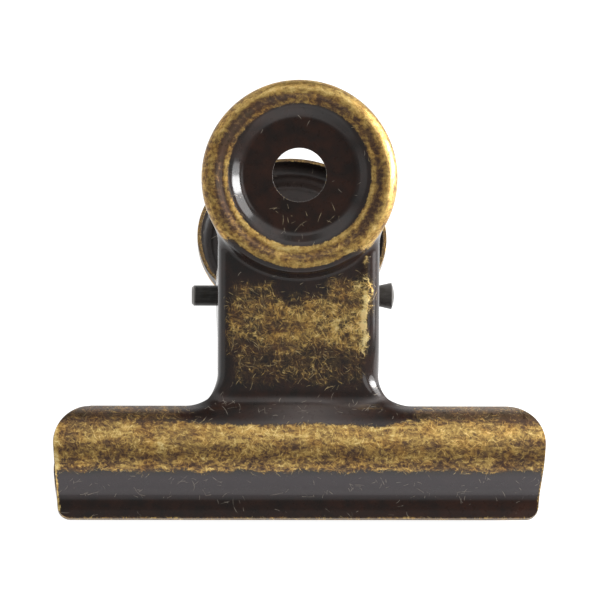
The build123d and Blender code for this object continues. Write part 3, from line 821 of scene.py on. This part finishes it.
def hair_group():
    """One layer of short curved scratches: a stroke in each random cell, with a random strength."""
    g = bpy.data.node_groups.new("scratch_layer", "ShaderNodeTree")
    for name, kind in (("Place", "NodeSocketVector"), ("Cells", "NodeSocketFloat"), ("Width", "NodeSocketFloat"), ("Reach", "NodeSocketFloat")):
        g.interface.new_socket(name, in_out="INPUT", socket_type=kind)
    g.interface.new_socket("Stroke", in_out="OUTPUT", socket_type="NodeSocketFloat")
    g.interface.new_socket("Strength", in_out="OUTPUT", socket_type="NodeSocketFloat")
    k = Nodes(g)
    i, o = k.new("NodeGroupInput"), k.new("NodeGroupOutput")
    p = k.vec("SCALE", i.outputs["Place"], scale=i.outputs["Cells"])
    v = k.new("ShaderNodeTexVoronoi", voronoi_dimensions="2D", feature="F1")
    k.put(v.inputs["Vector"], p)
    v.inputs["Scale"].default_value = 1.0
    v.inputs["Randomness"].default_value = 1.0
    d = k.vec("SUBTRACT", p, v.outputs["Position"])
    dx, dy, _ = k.split(d)
    c = k.new("ShaderNodeSeparateColor")
    k.put(c.inputs[0], v.outputs["Color"])
    turn = k.math("MULTIPLY", c.outputs[0], 2 * pi)
    co, si = k.math("COSINE", turn), k.math("SINE", turn)
    lx = k.math("ADD", k.math("MULTIPLY", dx, co), k.math("MULTIPLY", dy, si))
    ly = k.math("SUBTRACT", k.math("MULTIPLY", dy, co), k.math("MULTIPLY", dx, si))
    bend = k.math("MULTIPLY", k.math("SUBTRACT", c.outputs[1], 0.5), 1.5)
    ly = k.math("ADD", ly, k.math("MULTIPLY", bend, k.math("MULTIPLY", lx, lx)))
    wide = k.math("MULTIPLY", i.outputs["Width"], i.outputs["Cells"])
    across = k.math("DIVIDE", k.math("ABSOLUTE", ly), wide)
    along_ = k.math("DIVIDE", k.math("ABSOLUTE", lx), i.outputs["Reach"])
    stroke = k.math("MULTIPLY", k.fit(across, 1.0, 0.25, smooth=True), k.fit(along_, 1.0, 0.55, smooth=True))
    k.put(o.inputs[0], stroke)
    k.put(o.inputs[1], c.outputs[2])
    return g


HAIR = hair_group()


def scratches(k, place, cells, width, reach, shift, amount):
    """Strokes that show where their own random strength is above 1 - amount."""
    n = k.new("ShaderNodeGroup")
    n.node_tree = HAIR
    k.put(n.inputs["Place"], k.vec("ADD", place, shift))
    n.inputs["Cells"].default_value = cells
    n.inputs["Width"].default_value = width
    n.inputs["Reach"].default_value = reach
    shown = k.math("GREATER_THAN", k.math("ADD", n.outputs["Strength"], amount), 1.0)
    return k.math("MULTIPLY", n.outputs["Stroke"], shown)


def fibres(k, place, turn, across, along_, shift, warp):
    """Brushed streaks in one direction, a little wavy."""
    p = k.vec("ADD", place, shift)
    p = k.vec("ADD", p, k.vec("SCALE", k.vec("SUBTRACT", k.noise(p, 0.85, 1.0, color=True), (0.5, 0.5, 0.5)), scale=warp))
    m = k.new("ShaderNodeMapping", vector_type="POINT")
    k.put(m.inputs["Vector"], p)
    m.inputs["Rotation"].default_value = (0, 0, turn)
    q = k.vec("MULTIPLY", m.outputs[0], (along_, across, 1.0))
    return k.noise(q, 1.0, 2.0, 0.6)


def plate_material(name, warm):
    mat = bpy.data.materials.new(name)
    mat.use_nodes = True
    k = Nodes(mat.node_tree)
    shader = mat.node_tree.nodes["Principled BSDF"]
    fa = k.new("ShaderNodeAttribute", attribute_name="flat_place")
    wa = k.new("ShaderNodeAttribute", attribute_name="wear_and_highlight")
    place = fa.outputs["Vector"]
    cover, tone, inner = k.split(wa.outputs["Vector"])
    # painted reflection and sheen on the lacquer, loose scratches, plum tint
    painted_sheen, loose, plum = k.split(k.new("ShaderNodeAttribute", attribute_name="sheen_loose_plum").outputs["Vector"])
    hairy, shine, red = k.split(k.new("ShaderNodeAttribute", attribute_name="lay").outputs["Vector"])
    around = k.new("ShaderNodeAttribute", attribute_name="around").outputs["Vector"]
    ringed = k.fit(hairy, 0.35, 0.15)
    # fine brushed fibres in several directions
    f1 = fibres(k, place, 0.30, 4.2, 0.8, (3.1, 1.7, 0), 1.2)
    f2 = fibres(k, place, 1.50, 4.6, 0.9, (13.1, 7.7, 0), 1.3)
    f3 = fibres(k, place, -0.75, 5.2, 0.9, (23.1, 4.7, 0), 1.4)
    f4 = fibres(k, place, 0.95, 4.0, 0.8, (33.1, 14.7, 0), 1.3)
    top = k.math("MAXIMUM", k.math("MAXIMUM", f1, f2), k.math("MAXIMUM", f3, f4))
    grain = k.fit(top, 0.46, 0.80, -0.5, 0.5)
    # round the bead the streaks run with it
    turned = k.fit(k.noise(k.vec("MULTIPLY", around, (1.10, 1.10, 3.6)), 1.0, 4.0, 0.66), 0.30, 0.70, -0.5, 0.5)
    grain = k.blend(ringed, grain, k.math("ADD", k.math("MULTIPLY", grain, 0.60), k.math("MULTIPLY", turned, 0.55)))
    # ragged outline of the rubbed places
    broad = k.noise(place, 0.33, 3.0, 0.6)
    ragged = k.noise(place, 1.2, 4.0, 0.62)
    shift = k.math("ADD", k.math("MULTIPLY", k.math("SUBTRACT", broad, 0.5), 0.55), k.math("MULTIPLY", k.math("SUBTRACT", ragged, 0.5), 0.9))
    shift = k.math("ADD", shift, k.math("MULTIPLY", grain, 0.60))
    hold = k.fit(cover, 0.0, 0.12)
    level = k.math("ADD", cover, k.math("MULTIPLY", shift, hold))
    stained = k.fit(level, 0.10, 0.46, smooth=True)
    rubbed = k.fit(level, 0.34, 0.68, smooth=True)
    # single scratches, more of them round the rubbed places
    near = k.math("MULTIPLY", k.math("MULTIPLY", cover, k.math("SUBTRACT", 1.15, cover)), 1.4)
    near = k.math("MULTIPLY", near, k.fit(hairy, 0.1, 0.5, 0.15, 1.0))
    clump = k.fit(k.noise(k.vec("ADD", place, (44.0, 8.0, 0)), 0.42, 1.0, 0.5), 0.46, 0.66, 0.05, 2.3)
    amount = k.math("ADD", near, k.math("MULTIPLY", k.math("ADD", loose, 0.05), clump))
    s1 = scratches(k, place, 0.50, 0.048, 0.47, (5.2, 1.3, 0), amount)
    s2 = scratches(k, place, 0.80, 0.046, 0.48, (15.7, 9.1, 0), amount)
    s3 = scratches(k, place, 1.35, 0.046, 0.46, (27.3, 4.4, 0), amount)
    hair = k.math("MAXIMUM", k.math("MAXIMUM", s1, s2), s3)
    deep = k.noise(place, 1.7, 2.0, 0.5)
    hair = k.math("MULTIPLY", hair, k.fit(deep, 0.36, 0.66, 0.15, 1.0))
    # light hairs on the brass
    h1 = scratches(k, place, 0.70, 0.055, 0.47, (71.3, 2.2, 0), 0.45)
    h2 = scratches(k, place, 1.10, 0.052, 0.46, (81.9, 33.2, 0), 0.50)
    h3 = scratches(k, place, 1.70, 0.050, 0.45, (91.9, 13.2, 0), 0.55)
    bright = k.math("MAXIMUM", k.math("MAXIMUM", h1, h2), h3)
    # brown patches on the brass, drawn out along the jaw
    smear = k.noise(k.vec("MULTIPLY", place, (0.30, 0.85, 1.0)), 1.0, 4.0, 0.62)
    smear = k.blend(ringed, smear, k.noise(k.vec("MULTIPLY", around, (0.42, 0.42, 0.9)), 1.0, 4.0, 0.62))
    t = k.math("ADD", tone, k.math("MULTIPLY", grain, 0.52))
    t = k.math("ADD", t, k.math("MULTIPLY", k.math("SUBTRACT", smear, 0.5), k.fit(ringed, 0.0, 1.0, 1.25, 0.70)))
    t = k.math("ADD", t, k.math("MULTIPLY", k.math("SUBTRACT", ragged, 0.5), 0.60))
    # small brown flecks left in the brass
    fleck = k.noise(k.vec("MULTIPLY", k.vec("ADD", place, (61.0, 3.0, 0)), (0.75, 1.15, 1.0)), 2.3, 2.0, 0.55)
    t = k.math("SUBTRACT", t, k.math("MULTIPLY", k.fit(fleck, 0.55, 0.40), k.math("MULTIPLY", k.fit(hairy, 0.1, 0.8, 0.24, 0.26), k.fit(tone, 0.40, 0.62, 1.0, 0.55))))
    t = k.math("ADD", t, 0.05)
    t = k.math("ADD", t, k.math("MULTIPLY", bright, k.math("MULTIPLY", hairy, 0.32)), clamp=True)
    hue = k.noise(place, 0.55, 3.0, 0.6)
    brass = k.ramp(t, [(0.0, (0.070, 0.042, 0.029)), (0.20, (0.145, 0.086, 0.045)), (0.42, (0.34, 0.212, 0.072)),
                       (0.66, (0.63, 0.435, 0.140)), (1.0, (0.92, 0.75, 0.36))])
    tint = k.vec("MULTIPLY", brass, (1.03, 0.90, 0.78))
    brass = k.mix(k.fit(hue, 0.43, 0.68, 0.0, 0.85), brass, tint)
    # dark lacquer, redder in places
    dark = k.mix(k.fit(hue, 0.35, 0.68), (0.0095, 0.0068, 0.0058, 1), warm)
    dark = k.mix(red, dark, k.mix(k.fit(hue, 0.35, 0.65), (0.0150, 0.0070, 0.0046, 1), (0.030, 0.0100, 0.0048, 1)))
    dark = k.mix(k.math("MULTIPLY", plum, 0.75), dark, (0.024, 0.0115, 0.0175, 1))
    scratch = k.mix(k.fit(deep, 0.4, 0.6), (0.26, 0.20, 0.115, 1), (0.44, 0.33, 0.16, 1))
    scratch = k.mix(k.fit(cover, 0.0, 0.10), (0.27, 0.235, 0.195, 1), scratch)
    # painted reflection: the lacquer is paled to a lighter grey where the sheen is set
    dark = k.mix(painted_sheen, dark, (0.080, 0.067, 0.063, 1))
    brown = k.mix(k.fit(hue, 0.40, 0.65), (0.050, 0.034, 0.018, 1), (0.066, 0.037, 0.018, 1))
    colour = k.mix(rubbed, k.mix(stained, dark, brown), brass)
    lined = k.math("MULTIPLY", hair, k.math("SUBTRACT", 1.0, k.math("MULTIPLY", rubbed, 0.8)))
    colour = k.mix(lined, colour, scratch)
    k.put(shader.inputs["Base Color"], colour)
    metal = k.math("MAXIMUM", rubbed, lined)
    k.put(shader.inputs["Metallic"], k.math("MULTIPLY", metal, k.fit(t, 0.0, 0.4, 0.55, 1.0)))
    k.put(shader.inputs["Roughness"], k.blend(metal, k.fit(ragged, 0.3, 0.7, 0.24, 0.36), k.fit(grain, -0.5, 0.5, 0.50, 0.36)))
    k.put(shader.inputs["Coat Roughness"], k.math("ADD", k.math("MULTIPLY", inner, 0.32), k.fit(ragged, 0.3, 0.7, 0.08, 0.15)))
    # relief: rubbed places lie lower, and the lacquer is faintly wavy
    ripple = k.noise(place, 0.8, 2.0, 0.5)
    height = k.math("ADD", k.math("MULTIPLY", metal, -0.8), k.math("ADD", k.math("MULTIPLY", ripple, 0.5), k.math("MULTIPLY", grain, k.math("MULTIPLY", metal, 0.8))))
    bump = k.new("ShaderNodeBump")
    bump.inputs["Strength"].default_value = 0.4
    bump.inputs["Distance"].default_value = 0.00001
    k.put(bump.inputs["Height"], height)
    k.put(shader.inputs["Normal"], bump.outputs[0])
    bare = k.math("MAXIMUM", k.math("MULTIPLY", stained, 0.6), k.math("MAXIMUM", rubbed, lined))
    k.put(shader.inputs["Coat Weight"], k.math("MULTIPLY", shine, k.fit(bare, 0.0, 1.0, 1.0, 0.3)))
    shader.inputs["Coat IOR"].default_value = 1.5
    shader.inputs["Specular IOR Level"].default_value = 0.12
    return mat


front.data.materials.append(plate_material("antique_brass_front", (0.024, 0.0105, 0.0070, 1)))
rear.data.materials.append(plate_material("antique_brass_rear", (0.017, 0.0100, 0.0080, 1)))


def wire_material():
    mat = bpy.data.materials.new("spring_wire")
    mat.use_nodes = True
    k = Nodes(mat.node_tree)
    shader = mat.node_tree.nodes["Principled BSDF"]
    a = k.new("ShaderNodeAttribute", attribute_name="wire_place")
    p = a.outputs["Vector"]
    drawn = k.noise(k.vec("MULTIPLY", p, (9.0, 9.0, 0.25)), 1.0, 3.0, 0.6)
    stain = k.noise(p, 0.6, 4.0, 0.65)
    colour = k.mix(k.fit(drawn, 0.3, 0.7), (0.30, 0.29, 0.27, 1), (0.48, 0.46, 0.43, 1))
    colour = k.mix(k.fit(stain, 0.52, 0.70, 0.0, 0.8), colour, (0.09, 0.065, 0.045, 1))
    k.put(shader.inputs["Base Color"], colour)
    k.put(shader.inputs["Roughness"], k.fit(k.math("ADD", drawn, stain), 0.6, 1.4, 0.24, 0.50))
    shader.inputs["Metallic"].default_value = 1.0
    bump = k.new("ShaderNodeBump")
    bump.inputs["Strength"].default_value = 0.3
    bump.inputs["Distance"].default_value = 0.000008
    k.put(bump.inputs["Height"], drawn)
    k.put(shader.inputs["Normal"], bump.outputs[0])
    return mat


def pin_material():
    mat = bpy.data.materials.new("hinge_pin_dark")
    mat.use_nodes = True
    k = Nodes(mat.node_tree)
    shader = mat.node_tree.nodes["Principled BSDF"]
    t = k.new("ShaderNodeTexCoord")
    p = k.vec("SCALE", t.outputs["Object"], scale=1000.0)
    drawn = k.noise(k.vec("MULTIPLY", p, (0.5, 7.0, 7.0)), 1.0, 3.0, 0.6)
    stain = k.noise(p, 1.3, 4.0, 0.65)
    colour = k.mix(k.fit(drawn, 0.35, 0.7), (0.030, 0.028, 0.025, 1), (0.095, 0.088, 0.078, 1))
    colour = k.mix(k.fit(stain, 0.60, 0.78, 0.0, 0.7), colour, (0.10, 0.085, 0.055, 1))
    # painted shade towards the plain end, painted light towards the spread end, and a painted highlight on the plain
    # end's rim
    parts = k.new("ShaderNodeSeparateXYZ")
    k.put(parts.inputs[0], p)
    along = parts.outputs[0]
    colour = k.mix(k.fit(along, -4.0, 4.0, 0.55, 0.0), colour, (0.012, 0.011, 0.010, 1))
    colour = k.mix(k.fit(along, 4.0, 8.0, 0.0, 0.45), colour, (0.130, 0.118, 0.108, 1))
    colour = k.mix(k.fit(along, -10.40, -10.60, 0.0, 0.8), colour, (0.300, 0.285, 0.270, 1))
    k.put(shader.inputs["Base Color"], colour)
    k.put(shader.inputs["Metallic"], k.fit(stain, 0.4, 0.75, 0.15, 0.8))
    k.put(shader.inputs["Roughness"], k.fit(drawn, 0.3, 0.7, 0.32, 0.52))
    bump = k.new("ShaderNodeBump")
    bump.inputs["Strength"].default_value = 0.35
    bump.inputs["Distance"].default_value = 0.00001
    k.put(bump.inputs["Height"], k.math("ADD", drawn, stain))
    k.put(shader.inputs["Normal"], bump.outputs[0])
    return mat


spring.data.materials.append(wire_material())
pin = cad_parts["hinge_pin"]
pin.data.materials.clear()
pin.data.materials.append(pin_material())


# ---------------------------------------------------------------------------
# stage: pale floor, soft light, camera
# ---------------------------------------------------------------------------
floor_mesh = bpy.data.meshes.new("floor")
floor_mesh.from_pydata([(-3, -3, 0), (3, -3, 0), (3, 3, 0), (-3, 3, 0)], [], [(0, 1, 2, 3)])
floor = bpy.data.objects.new("floor", floor_mesh)
bpy.context.scene.collection.objects.link(floor)
floor.location.z = -0.00003
floor_mat = bpy.data.materials.new("floor_pale")
floor_mat.use_nodes = True
fs = floor_mat.node_tree.nodes["Principled BSDF"]
fs.inputs["Base Color"].default_value = (0.30, 0.30, 0.30, 1)
fs.inputs["Roughness"].default_value = 0.9
fs.inputs["Specular IOR Level"].default_value = 0.0
fs.inputs["Emission Color"].default_value = (1, 1, 1, 1)
# lit white under the clip, paler further out
fn = Nodes(floor_mat.node_tree)
spot = fn.vec("LENGTH", fn.new("ShaderNodeTexCoord").outputs["Object"])
fn.put(fs.inputs["Emission Strength"], fn.fit(spot, 0.060, 0.17, 0.95, 0.45, smooth=True))
floor.data.materials.append(floor_mat)

# soft surround: dim where the disc's face looks, lighter towards the top, the bottom and the left
world = bpy.data.worlds.new("studio")
world.use_nodes = True
back = world.node_tree.nodes["Background"]
back.inputs["Color"].default_value = (1, 1, 1, 1)
wn = Nodes(world.node_tree)
way = wn.new("ShaderNodeTexCoord").outputs["Generated"]
rise = wn.vec("DOT_PRODUCT", way, (0.0, 0.8623, 0.5064))
side = wn.vec("DOT_PRODUCT", way, (1.0, 0.0, 0.0))
upper = wn.math("MULTIPLY", wn.fit(rise, 0.42, 0.68, smooth=True), wn.fit(rise, 0.96, 0.88, smooth=True))
lower = wn.fit(rise, -0.45, -0.65, smooth=True)
left = wn.fit(side, -0.80, -0.95, smooth=True)
level = wn.math("ADD", 0.38, wn.math("MULTIPLY", upper, 0.68))
level = wn.math("ADD", level, wn.math("MULTIPLY", lower, 0.45))
level = wn.math("ADD", level, wn.math("MULTIPLY", left, 0.50))
level = wn.math("SUBTRACT", level, wn.math("MULTIPLY", wn.fit(rise, 0.88, 0.96, smooth=True), 0.22))
wn.put(back.inputs["Strength"], level)
bpy.context.scene.world = world

CAM_AZ, CAM_EL, CAM_D, CAM_S, CAM_X, CAM_Y, CAM_ROLL = 2.344, 16.5, 540.0, 9.70, -3.337, 21.535, -0.524
az, el, ro = radians(CAM_AZ), radians(CAM_EL), radians(CAM_ROLL)
to_cam = np.array([-sin(az) * cos(el), -cos(az) * cos(el), -sin(el)])
right = np.cross(-to_cam, [0, 0, 1.0])
right /= np.linalg.norm(right)
up = np.cross(right, -to_cam)
right, up = right * cos(ro) + up * sin(ro), up * cos(ro) - right * sin(ro)
eye = np.array([0, 0, 21.0]) + to_cam * CAM_D - right * CAM_X / CAM_S + up * CAM_Y / CAM_S
cam = bpy.data.cameras.new("camera")
cam_obj = bpy.data.objects.new("camera", cam)
bpy.context.scene.collection.objects.link(cam_obj)
cam.sensor_width = 36
cam.lens = CAM_S * CAM_D * 36 / 600
cam.clip_start, cam.clip_end = 0.05, 20
m = Matrix.Identity(4)
for i, v in enumerate((right, up, to_cam)):
    for j in range(3):
        m[j][i] = float((v @ CLIP_AXES)[j])
m.translation = Vector(clip_to_row(eye) * MM)
cam_obj.matrix_world = m
bpy.context.scene.camera = cam_obj
bpy.context.scene.view_settings.view_transform = "Standard"


aim = Vector(clip_to_row(web_to_clip(np.zeros(3), False)) * MM)


def softbox(name, direction, distance, size, power, color=(1, 1, 1)):
    """An oval soft light, placed by its direction from the clip."""
    l = bpy.data.lights.new(name, "AREA")
    l.shape, l.size, l.size_y = "ELLIPSE", size[0], size[1]
    l.energy, l.color = power, color
    o = bpy.data.objects.new(name, l)
    bpy.context.scene.collection.objects.link(o)
    d = Vector(direction).normalized()
    o.location = aim + d * distance
    # its second side lies towards the disc's face
    tall = Vector((0, -0.5064, 0.8623))
    tall = (tall - d * tall.dot(d)).normalized()
    o.rotation_euler = Matrix((tall.cross(d), tall, d)).transposed().to_euler()
    return o


# light directions, as degrees off the face of the thumb disc towards the right, the top or the bottom
def off_face(angle, across, upward):
    c, t = cos(radians(angle)), sin(radians(angle))
    n = hypot(across, upward)
    across, upward = across / n, upward / n
    return (t * across, -0.5064 * c + 0.8623 * t * upward, 0.8623 * c + 0.5064 * t * upward)


softbox("key_right", off_face(79, 1, 0.18), 0.09, (0.023, 0.072), 0.082)
softbox("key_halo", off_face(79, 1, 0.28), 0.093, (0.086, 0.076), 0.085)
softbox("side_right", off_face(33, 1, 0.30), 0.60, (0.240, 0.240), 0.30)
